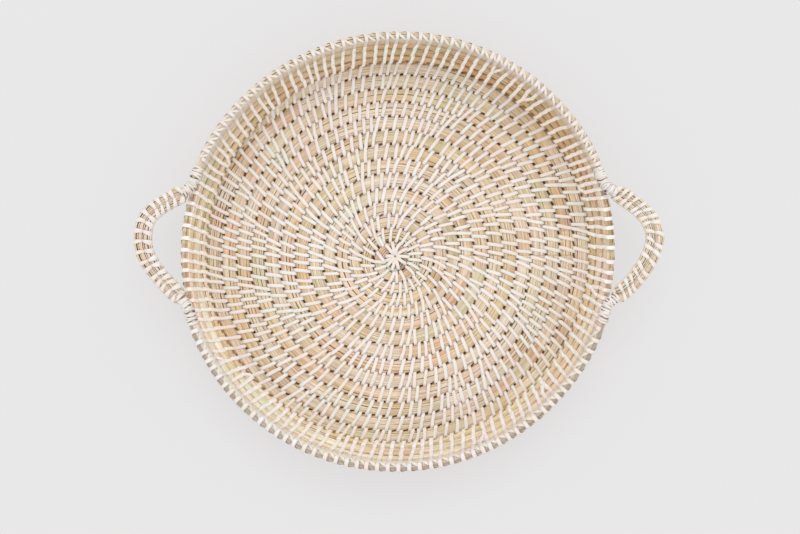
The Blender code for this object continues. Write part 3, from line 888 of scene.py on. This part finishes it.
# the knot: a few short strands curled under the first ring of stitches
knot = Builder()
kc = row_centre(KNOT_R)
for k in range(9):
    n = 16
    r = np.linspace(7.2, 1.2, n) * MM * RNG.uniform(0.72, 1.0)
    a = RNG.uniform(0, TAU) + np.linspace(0, RNG.uniform(2.2, 4.5), n)
    z = (3.4 + 2.6 * np.sin(np.linspace(0.2, 2.6, n)) + RNG.uniform(-0.8, 0.6)) * MM
    pts = np.stack([kc[0] + r * np.cos(a), kc[1] + r * np.sin(a), z], -1)
    tan = unit(np.gradient(pts, axis=0))
    up = unit(np.array([0.0, 0.0, 1.0]) - tan * tan[:, 2:3])
    side = np.cross(tan, up)
    th = np.arange(6) / 6 * TAU
    ring = pts[:, None] + side[:, None] * (np.cos(th) * 1.35 * MM)[None, :, None] \
        + up[:, None] * (np.sin(th) * 0.95 * MM)[None, :, None]
    flow = np.zeros((n, 6, 3)); flow[..., 0] = np.linspace(0, 0.03, n)[:, None]
    flow[..., 1] = np.cos(th) * 1.3 * MM; flow[..., 2] = k
    knot.rings(ring, grass_run(n, 0.002, 0.3)[:, None, :] * 0.80, flow)
th = np.arange(16) / 16 * TAU
prof = np.array([(7.0, 0.6), (7.4, 2.6), (6.6, 4.8), (3.4, 5.6), (0.4, 5.7)]) * MM
ring = np.stack([np.stack([kc[0] + r * np.cos(th), kc[1] + r * np.sin(th),
                           np.full(16, z)], -1) for r, z in prof])
flow = np.zeros((5, 16, 3))
knot.rings(ring, CORE[None, None, :] * 1.2, flow)
knot.piece("centre_knot_grass", GRASS_MAT, "seagrass", ["base_centre_knot"])

last = int(LAST_TURN)
for i in range(1, last):
    t0 = FIRST_TURN if i == 1 else float(i)
    t1 = LAST_TURN if i == last - 1 else float(i + 1)
    length = float(TAU * (boundary((t0 + t1) / 2) - 6 * MM) * (t1 - t0))
    n = max(int(length / STEP), 16)
    us = np.linspace(t0, t1, n)
    count = 16 if i < 3 else 22
    b = Builder()
    strands(b, base, us, count, 1.16 * MM, tone=base_tone(us))
    if i == last - 1:
        upper, under = b.halves()
        upper.piece("base_turn_%02d_grass_upper" % i, GRASS_MAT, "seagrass", ["base_coil_turn_%02d" % i])
        under.piece("base_turn_%02d_grass_under" % i, GRASS_MAT, "seagrass", [])
    else:
        b.piece("base_turn_%02d_grass" % i, GRASS_MAT, "seagrass", ["base_coil_turn_%02d" % i])

groups = [(0.0, 3.0), (3.0, 5.0), (5.0, 7.0), (7.0, 8.0), (8.0, 9.0), (9.0, 10.0), (10.0, 11.0),
          (11.0, 12.0), (12.0, 13.0), (13.0, 14.5)]
for g, (lo, hi) in enumerate(groups):
    part = [st for st in all_st if lo <= st[0] < hi]
    nxt = [st for st in all_st if st[0] >= hi][:1]
    b = Builder()
    if g == 0:
        # the first ring is drawn together at the eye
        eye = row_centre(KNOT_R) + EYE * MM
        for q, (deg, far) in enumerate(STAR):
            q0, q1 = math.radians(deg + 6.0), math.radians(deg)
            end = eye + np.array([math.cos(q1), math.sin(q1)]) * far * MM
            f = np.linspace(0, 1, 13)[:, None]
            out_dir = np.array([math.cos(q1), math.sin(q1)])
            side = np.array([-out_dir[1], out_dir[0]])
            x = eye + out_dir * (0.7 * MM + (far * MM - 0.3 * MM) * f) \
                + side * np.sin(f * math.pi) * RNG.normal(0.25, 0.45) * MM
            f = f[:, 0]
            z = (8.1 + 2.0 * np.sin(np.clip(0.25 + f * 0.62, 0, 1) * math.pi) ** 0.8
                 - 2.6 * f ** 12 - 2.2 * (1 - f) ** 5 + 0.25 * (q % 3)) * MM
            pts = np.concatenate([x, z[:, None]], -1)
            nr = np.tile(np.array([0.0, 0.0, 1.0]), (13, 1))
            ribbon(b, pts, nr, 3.6 * MM * (0.88 + 0.12 * f), 0.5 * MM, tone=BASE_STRIP)
        for (x0, y0), (x1, y1), z0 in BESIDE_EYE:
            f = np.linspace(0, 1, 13)
            x = eye[None, :] + np.stack([x0 + (x1 - x0) * f, y0 + (y1 - y0) * f], -1) * MM
            z = (z0 - 3.0 * np.abs(2 * f - 1) ** 14) * MM
            ribbon(b, np.concatenate([x, z[:, None]], -1), np.tile([0.0, 0.0, 1.0], (13, 1)),
                   3.3 * MM, 0.5 * MM, tone=BASE_STRIP)
        part = [st for st in part if st[0] >= 1.50]
    stitch_row(b, base, part + nxt, (3.2, 3.4, 3.55, 3.65)[min(g, 3)] * MM, bool(nxt), BASE_STRIP)
    b.piece("base_stitching_%02d" % (g + 1), STRIP_MAT, "binding_strip", [])

# ------------------------------------------------------------- wall and rim
tail = [o % 1.0 for i, o in all_st if o > all_st[-1][1] - 0.995]
rows = [WallRow(*w) for w in WALL_ROWS]
ROW_TONE = np.array([(1.0, 0.965, 0.90), (1.0, 0.985, 0.95), (1.0, 1.02, 1.04)])
rows[0].fat = 0.15 * MM
ref = tail
for k, row in enumerate(rows):
    r_in = row.r - ROW_HALF_L * math.sin(row.lean)
    sts = ring_stitches(ref, r_in, row.r + ROW_HALF_L * math.sin(row.lean), lean=1.9 * MM,
                        beside=(3.0 if k == 0 else 0.5) * MM)
    sts = sorted(sts)
    row.pins = np.array(sorted(list({round((i + o) / 2, 6) for i, o in sts}
                                    | {round((i + o) / 2 - 1, 6) for i, o in sts}
                                    | {round((i + o) / 2 + 1, 6) for i, o in sts})))
    set_holes(row, sts, row.r, closed=True, off=3.7 if k == 0 else 4.7)
    row.hole_side = ((-0.02, 0.14, 1.0) if k == 0 else (0.60, 0.25, 0.45), (0.60, 0.25, 0.45))
    n = int(TAU * row.r / STEP)
    us = np.arange(n) / n
    b = Builder()
    strands(b, row, us, 22, 1.16 * MM, warm=0.4, closed=True, pale=0.08,
            tone=wall_tone_and_back_shade(us) * ROW_TONE[k], vivid=1.12,
            core_w=(-0.10 * MM, -0.60 * MM if k < 2 else -2.0 * MM))
    b.piece("wall_row_%d_grass" % (k + 1), GRASS_MAT, "seagrass", ["wall_coil_row_%d" % (k + 1)])
    b = Builder()
    closed = sts + [(sts[0][0] + 1.0, sts[0][1] + 1.0)]
    stitch_row(b, row, closed, wall_width, True)
    b.piece("wall_row_%d_stitching" % (k + 1), STRIP_MAT, "binding_strip", [])
    ref = [o % 1.0 for i, o in sts]

CROSS = 11
for name, (a0, a1) in RIM_ARCS.items():
    rim = WallRow(RIM_R, RIM_Z, RIM_LEAN, (a0, a1))
    sts = ring_stitches(ref, RIM_R - 1.5 * MM, RIM_R + 2 * MM, lean=1.8 * MM, arc=(a0, a1),
                        beside=0.5 * MM)
    rim.pins = np.array([(i + o) / 2 for i, o in sts])
    set_holes(rim, sts, rim.r)
    rim.holes_at = (rim.holes_at[0], np.array([-9.0, -8.0]))
    n = int(TAU * rim.r * (a1 - a0) / 360.0 / STEP)
    us = np.linspace(a0, a1, n) / 360.0
    # the rim's grass is blended towards PALE: painted light on the crest, which faces the light
    b = Builder()
    # outer paints shade on the front arc's crest and paints light on the back arc's crest
    strands(b, rim, us, 22, 1.16 * MM, warm=-0.2, pale=0.62, core_w=-1.9 * MM, core_g=-1.8 * MM,
            tone=(0.5 + 0.5 * wall_tone_and_back_shade(us)) * np.array([0.89, 0.90, 0.95]), vivid=1.25,
            outer=(0.37, 0.32, 0.24) if name == "front" else (-0.14, 0.45, 0.4))
    b.piece("rim_%s_grass" % name, GRASS_MAT, "seagrass", ["rim_coil_" + name])
    b = Builder()
    stitch_row(b, rim, sts, wall_width, tone=rim_strip_tone)
    # the crossing stitches over the crest, leaning the other way
    for (i0, o0), (i1, o1) in zip(sts, sts[1:]):
        if (o1 - o0) * TAU * RIM_R > 15 * MM:
            continue
        f = np.linspace(0, 1, CROSS)
        s0 = i0 + (o0 - i0) * 0.62
        s1 = o1 - 0.8 * MM / (TAU * RIM_R)
        u = s0 + (s1 - s0) * (f ** 1.5 * 0.6 + 0.4 * f)
        # from the middle of the inner face to the crest, under the next stitch
        ang = np.radians(np.linspace(*((102.0, 12.0) if name == "front" else (80.0, -16.0)), CROSS))
        p, nr = rim.place(u, ang, grow=(0.20 + 0.42 * np.sin(f * math.pi)) * MM)
        ribbon(b, p, nr, (3.3 if name == "front" else 2.6) * MM * (0.85 + 0.15 * np.sin(f * math.pi)), 0.42 * MM,
               seed_col=STRIP_C[2] * RNG.uniform(0.78, 0.88))
    b.piece("rim_%s_stitching" % name, STRIP_MAT, "binding_strip", [])

# ------------------------------------------------------------------- handles
SPAN_F = [0.0, 0.30, 0.42, 0.60, 0.72, 0.88, 1.0]
SPAN_MM = [6.8, 7.4, 9.2, 9.2, 7.8, 6.8, 5.8]


def coil_binding(b, hd, sign, starts, lean, bow, flare):
    """One strip wound round one coil; over the top it lines up with the other coil's."""
    top = np.radians(np.array([148.0, 136.0, 122.0, 106.0, 90.0, 66.0, 42.0, 20.0, 0.0]))
    if sign < 0:
        top = math.pi - top[::-1]
    low = np.radians(np.array([-26.0, -60.0, -90.0, -120.0, -154.0]))
    x = (np.cos(top) + sign) / 2.0          # 0 between the coils, 1 at the handle's edge
    us, th, wide = [], [], []
    for q in range(len(starts) - 1):
        jit = RNG.normal(0, 0.35) * MM
        us.append(starts[q] + lean[q] * x / 2 + bow[q] * (1.0 - x * x) + jit * np.sin(np.abs(x) * math.pi))
        th.append(top)
        wide.append(0.84 + flare * np.abs(x) ** 1.6)
        nxt = starts[q + 1] + lean[q + 1] * x[0] / 2 + bow[q + 1] * (1.0 - x[0] ** 2)
        g = np.linspace(0, 1, len(low) + 2)[1:-1]
        us.append(us[-1][-1] + (nxt - us[-1][-1]) * g)
        th.append(low)
        wide.append(np.linspace(wide[-1][-1], wide[-1][0], len(low)))
    us, th, wide = np.concatenate(us), np.concatenate(th), np.concatenate(wide)
    mid, t, d, n, k = hd.frame(us)
    off = d * np.cos(th)[:, None] + n * np.sin(th)[:, None]
    rr = (HANDLE_COIL_R + 0.42 * MM + 0.12 * MM * Wave(1, 3.0, 999.0)(0, np.arange(len(us)) * 0.5)) * k
    p = mid + d * (sign * HANDLE_HALF * k)[:, None] + off * rr[:, None]
    i = 0
    while i < len(p) - 6:
        m = int(RNG.integers(1, 4)) * 14 + 1
        q = p[i:i + m]
        w = (3.9 + RNG.uniform(-0.6, 0.6)) * MM * wide[i:i + m]
        ribbon(b, q, off[i:i + m], w * (0.82 + 0.18 * k[i:i + m]), 0.5 * MM,
               tone=HANDLE_STRIP)
        i += m - 1


def lash(b, path, length, pitch, width, tilt, wild, out, f0, f1, phase):
    """Strip wound round the joint of rim and handle, each turn at its own slant."""
    per = 16
    turns = (f1 - f0) * length / abs(pitch)
    cnt = int(turns * per)
    tt = np.arange(cnt + 1) / per
    a = TAU * tt * (1 if pitch > 0 else -1) + phase
    ws = Wave(3, 1.0, turns + 2)
    at = f0 * length + tt * abs(pitch) + (tilt + wild * ws(0, tt)) * np.cos(a - 0.9) \
        + 0.4 * wild * ws(1, tt) * np.sin(a)
    at = np.clip(at, 0.2 * MM, length - 0.2 * MM)
    ii = at / length * (len(path) - 1)
    c = np.stack([np.interp(ii, np.arange(len(path)), path[:, q]) for q in range(3)], -1)
    tan = unit(np.gradient(path, axis=0))
    t = unit(np.stack([np.interp(ii, np.arange(len(path)), tan[:, q]) for q in range(3)], -1))
    h = unit(np.stack([t[:, 1], -t[:, 0], np.zeros(len(t))], -1))
    up = np.cross(t, h)
    up[up[:, 2] < 0] *= -1
    bulge = 1.0 + 0.05 * np.sin(at / length * 9.0)
    hu = 6.9 * MM * bulge + out + 0.25 * MM * ws(2, tt)
    hs = 4.9 * MM * bulge + out + 0.25 * MM * ws(2, tt)
    p = c + h * (hs * np.cos(a))[:, None] + up * (hu * np.sin(a))[:, None]
    nr = unit(h * (np.cos(a) / hs)[:, None] + up * (np.sin(a) / hu)[:, None])
    i = 0
    while i < len(p) - per // 2:
        m = int(RNG.integers(2, 5)) * per + 1
        q = p[i:i + m]
        if len(q) < 5:
            break
        ribbon(b, q, nr[i:i + m], width * RNG.uniform(0.9, 1.12), 0.5 * MM, tone=HANDLE_STRIP)
        i += m - 1


for side, key, sx in (("left", HANDLE_LEFT, -1.0), ("right", HANDLE_RIGHT, 1.0)):
    hd = Handle(key, sx)
    s0, s1 = 7.0 * MM, hd.length - 5.0 * MM
    unit_s = []
    s = s0
    while s < s1:
        unit_s.append(s)
        s += (float(np.interp((s - s0) / (s1 - s0), SPAN_F, SPAN_MM)) + RNG.uniform(-0.9, 0.9)) * MM
    unit_s = np.array(unit_s)
    nu = len(unit_s)
    lean = (np.full(nu, 6.4) if sx > 0 else np.full(nu, -2.2)) * MM * RNG.uniform(0.55, 1.45, nu)
    bow = ((0.3 if sx > 0 else -1.5) + RNG.normal(0, 0.8, nu)) * MM
    binding = Builder()
    for sign, nm in ((1.0, "outer"), (-1.0, "inner")):
        coil = HandleCoil(hd, sign)
        coil.pins = np.sort(unit_s + sign * lean / 4 + bow * 0.75)
        coil.pinch_by, coil.pinch_w = 0.17, 2.3 * MM
        us = np.linspace(0.0, hd.length, int(hd.length / (1.5 * MM)))
        b = Builder()
        strands(b, coil, us, 15, 0.98 * MM, warm=-0.3, groove_shade=0.0, pale=0.60,
                pale_to=PALE_HANDLE, core_w=-1.6 * MM, core_g=-1.7 * MM, vivid=1.15,
                    tone=np.array([0.92, 0.93, 0.97]))
        b.piece("%s_handle_%s_grass" % (side, nm), GRASS_MAT, "seagrass",
                ["%s_handle_%s_coil" % (side, nm)])
        coil_binding(binding, hd, sign, unit_s, lean, bow, 0.42 if sx > 0 else 0.62)
    binding.piece("%s_handle_binding" % side, STRIP_MAT, "binding_strip",
                  ["%s_handle_binding_strip" % side])
    # dense lashing at both ends
    back0, back1 = RIM_ARCS["back"]
    front0, front1 = RIM_ARCS["front"]
    ends = ((True, back1 if sx < 0 else back0, sx, "back"),
            (False, front0 if sx < 0 else front1, -sx, "front"))
    for at_start, deg, direction, nm in ends:
        def rim_at(back):
            dd = deg + direction * math.degrees(back / RIM_R)
            e = min(1.0, math.degrees(back / RIM_R) / RIM_TAPER)
            e = e * e * (3 - 2 * e)
            q = math.radians(dd)
            return [RIM_R * math.cos(q), RIM_R * math.sin(q), RIM_Z + RIM_END_RISE * (1 - e)]

        def on_handle(s):
            return hd.frame(np.array([s if at_start else hd.length - s]))[0][0].tolist()

        path, plen = catmull([rim_at(12.0 * MM), rim_at(7.0 * MM), rim_at(3.0 * MM),
                              on_handle(1.0 * MM), on_handle(6.0 * MM), on_handle(12.0 * MM),
                              on_handle(17.0 * MM)], 121)
        b = Builder()
        lash(b, path, plen, 2.75 * MM, 2.2 * MM, 0.8 * MM, 1.4 * MM, 0.0, 0.0, 1.0, 0.3)
        lash(b, path, plen, 5.6 * MM, 2.1 * MM, 2.6 * MM, 2.0 * MM, 0.35 * MM, 0.02, 0.96, 1.4)
        lash(b, path, plen, -7.5 * MM, 2.0 * MM, -3.2 * MM, 2.2 * MM, 0.62 * MM, 0.06, 0.86, 2.6)
        b.piece("%s_handle_%s_lash" % (side, nm), STRIP_MAT, "binding_strip",
                ["%s_handle_%s_lashing" % (side, nm)])

print("PIECES", len(STATS), "FACES", sum(n for _, n in STATS), "MAX", max(STATS, key=lambda x: x[1]))


# ------------------------------------------------------------- floor, light, camera
def floor_material():
    mat = bpy.data.materials.new("paper_floor")
    nt, N, L = nodes_of(mat)
    out = N.new("ShaderNodeOutputMaterial")
    p = N.new("ShaderNodeBsdfPrincipled")
    L.new(p.outputs[0], out.inputs[0])
    tc = N.new("ShaderNodeTexCoord")
    no = N.new("ShaderNodeTexNoise"); no.inputs["Scale"].default_value = 2.2
    L.new(tc.outputs["Object"], no.inputs["Vector"])
    ramp = N.new("ShaderNodeValToRGB")
    ramp.color_ramp.elements[0].color = (0.211, 0.208, 0.214, 1)
    ramp.color_ramp.elements[1].color = (0.219, 0.216, 0.222, 1)
    L.new(no.outputs["Fac"], ramp.inputs["Fac"])
    L.new(ramp.outputs[0], p.inputs["Base Color"])
    p.inputs["Roughness"].default_value = 0.9
    p.inputs["Specular IOR Level"].default_value = 0.1
    p.inputs["Emission Color"].default_value = (1.0, 0.994, 0.990, 1)
    p.inputs["Emission Strength"].default_value = 0.546
    return mat


me = bpy.data.meshes.new("floor")
S = 6.0
me.from_pydata([(-S, -S, 0), (S, -S, 0), (S, S, 0), (-S, S, 0)], [], [(0, 1, 2, 3)])
me.materials.append(floor_material())
floor = bpy.data.objects.new("floor", me)
floor.location.z = -0.0004
bpy.context.scene.collection.objects.link(floor)

world = bpy.context.scene.world or bpy.data.worlds.new("world")
bpy.context.scene.world = world
world.use_nodes = True
bg = world.node_tree.nodes.get("Background")
bg.inputs[0].default_value = (1.0, 0.995, 0.99, 1.0)
bg.inputs[1].default_value = 1.09


sun = bpy.data.lights.new("soft_window", "SUN")
sun.energy, sun.angle, sun.color = 0.60, math.radians(38.0), (1.0, 0.985, 0.965)
ob = bpy.data.objects.new("soft_window", sun)
bpy.context.scene.collection.objects.link(ob)
ob.rotation_mode = "QUATERNION"
ob.rotation_quaternion = Vector((-0.04, -0.52, -0.855)).to_track_quat("-Z", "Y")

cam = bpy.data.cameras.new("camera")
cam.sensor_width = 36.0
cam.lens = 67.5
cam.clip_start, cam.clip_end = 0.05, 50.0
camera = bpy.data.objects.new("camera", cam)
bpy.context.scene.collection.objects.link(camera)
camera.location = (0.0012, -0.0155, 1.5)
camera.rotation_euler = (0.0, 0.0, 0.0)
bpy.context.scene.camera = camera
bpy.context.scene.view_settings.view_transform = "Standard"

bpy.context.view_layer.update()
